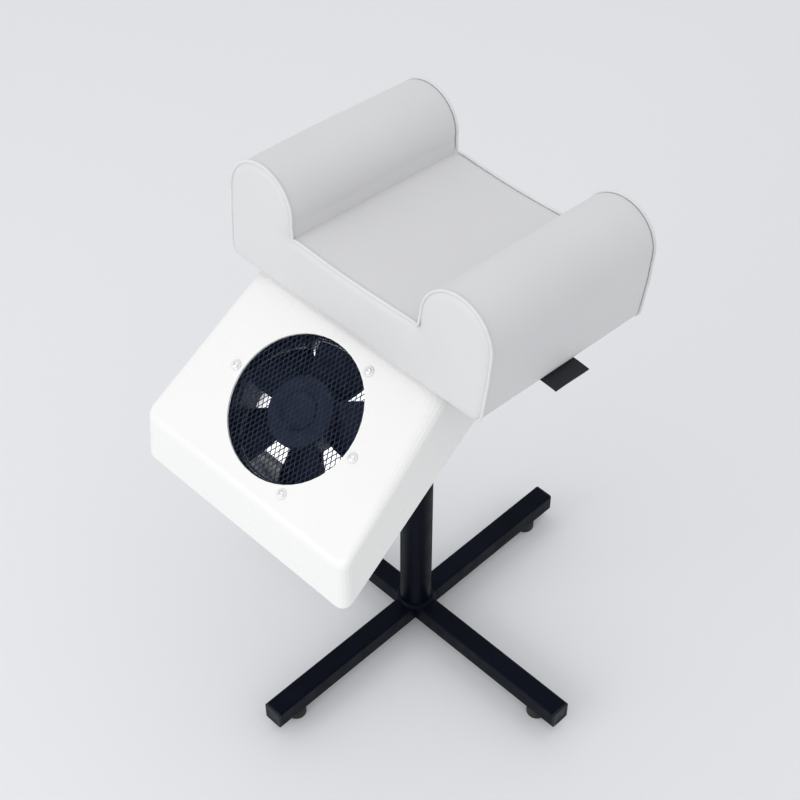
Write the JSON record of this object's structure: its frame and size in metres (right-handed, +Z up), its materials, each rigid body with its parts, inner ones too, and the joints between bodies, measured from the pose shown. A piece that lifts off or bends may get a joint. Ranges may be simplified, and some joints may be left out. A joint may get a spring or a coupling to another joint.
{
  "type": "foot-rest nail dust collector",
  "caption": "White U-shaped padded foot rest on a black cross-base stand, with a wedge fan housing under its front edge that draws in nail dust.",
  "frame": {"origin": "on the floor, under the middle of the whole object's box; the column stands 8.65 mm behind it", "axes": "+Z up, +X to the side the cushion label is on, -Y to the front, where the fan face looks"},
  "size_m": [0.473, 0.4903, 0.6894],
  "materials": {
    "black_powder_coat": "satin",
    "black_cap_plastic": "matte",
    "black_rubber": "matte",
    "black_fan_plastic": "satin",
    "black_wire": "satin",
    "white_abs": "satin",
    "white_leatherette": "satin",
    "filter_white": "matte",
    "plywood": "matte",
    "black_woven": "matte",
    "grey_nylon": "satin",
    "zinc_steel": "satin"
  },
  "bodies": {
    "stand": {"base_tube_back": "black_powder_coat", "base_tube_front": "black_powder_coat", "base_tube_long": "black_powder_coat", "clamp_collar": "black_cap_plastic", "column_bush": "grey_nylon", "column_tube": "black_powder_coat", "column_weld": "black_powder_coat", "end_cap_back": "black_cap_plastic", "end_cap_front": "black_cap_plastic", "end_cap_left": "black_cap_plastic", "end_cap_right": "black_cap_plastic", "foot_pad_back": "black_rubber", "foot_pad_front": "black_rubber", "foot_pad_left": "black_rubber", "foot_pad_right": "black_rubber"},
    "height_knob": {"height_knob": "black_cap_plastic"},
    "lift": {"inner_tube": "zinc_steel", "swivel_bush": "grey_nylon", "swivel_nut": "zinc_steel"},
    "yoke": {"yoke": "black_powder_coat", "swivel_bolt": "zinc_steel"},
    "head": {"bracket_screw_1": "zinc_steel", "bracket_screw_2": "zinc_steel", "bracket_screw_3": "zinc_steel", "bracket_screw_4": "zinc_steel", "cover_screw_1": "zinc_steel", "cover_screw_2": "zinc_steel", "cover_screw_3": "zinc_steel", "cover_screw_4": "zinc_steel", "cushion_board": "plywood", "cushion_bolster_left": "white_leatherette", "cushion_bolster_right": "white_leatherette", "cushion_label": "black_woven", "cushion_seat": "white_leatherette", "fan_frame": "black_fan_plastic", "fan_motor": "zinc_steel", "grille": "black_wire", "grille_screw_1": "zinc_steel", "grille_screw_2": "zinc_steel", "grille_screw_3": "zinc_steel", "grille_screw_4": "zinc_steel", "housing_rail_left": "black_powder_coat", "housing_rail_right": "black_powder_coat", "housing_shell": "white_abs", "mains_inlet": "black_cap_plastic", "rail_screw_left_1": "zinc_steel", "rail_screw_left_2": "zinc_steel", "rail_screw_right_1": "zinc_steel", "rail_screw_right_2": "zinc_steel", "rear_cover": "white_abs", "switch_body": "black_cap_plastic", "tilt_bracket": "black_powder_coat", "tilt_pin": "zinc_steel"},
    "tilt_knob": {"tilt_knob": "black_cap_plastic"},
    "fan": {"fan_rotor": "black_fan_plastic", "fan_shaft": "zinc_steel"},
    "filter_drawer": {"filter_frame": "white_abs", "filter_media": "filter_white"},
    "rocker": {"switch_rocker": "black_cap_plastic"}
  },
  "joints": [
    {"name": "height_knob_turn", "type": "hinge", "parent": "stand", "child": "height_knob", "pos_m": [-0.0273, 0.00865, 0.295], "axis": [-1, 0, 0], "range_deg": [0, 360]},
    {"name": "height", "type": "slide", "parent": "stand", "child": "lift", "axis": [0, 0, 1], "range_m": [-0.08, 0.1]},
    {"name": "swivel", "type": "hinge", "parent": "lift", "child": "yoke", "pos_m": [0, 0.00865, 0.463], "axis": [0, 0, 1], "continuous": true},
    {"name": "tilt", "type": "hinge", "parent": "yoke", "child": "head", "pos_m": [0, 0.00865, 0.5077], "axis": [-1, 0, 0], "range_deg": [-15, 20]},
    {"name": "tilt_knob_turn", "type": "hinge", "parent": "head", "child": "tilt_knob", "pos_m": [-0.0208, 0.00865, 0.5077], "axis": [-1, 0, 0], "range_deg": [0, 360]},
    {"name": "fan_spin", "type": "hinge", "parent": "head", "child": "fan", "pos_m": [0, -0.16522, 0.49841], "axis": [0, -0.6018, 0.7986], "continuous": true},
    {"name": "filter_slide", "type": "slide", "parent": "head", "child": "filter_drawer", "axis": [-1, 0, 0], "range_m": [0, 0.2]},
    {"name": "switch_rock", "type": "hinge", "parent": "head", "child": "rocker", "pos_m": [-0.14339, -0.1786, 0.45829], "axis": [-0.0199, 0.603, -0.7975], "range_deg": [-14, 0]}
  ]
}
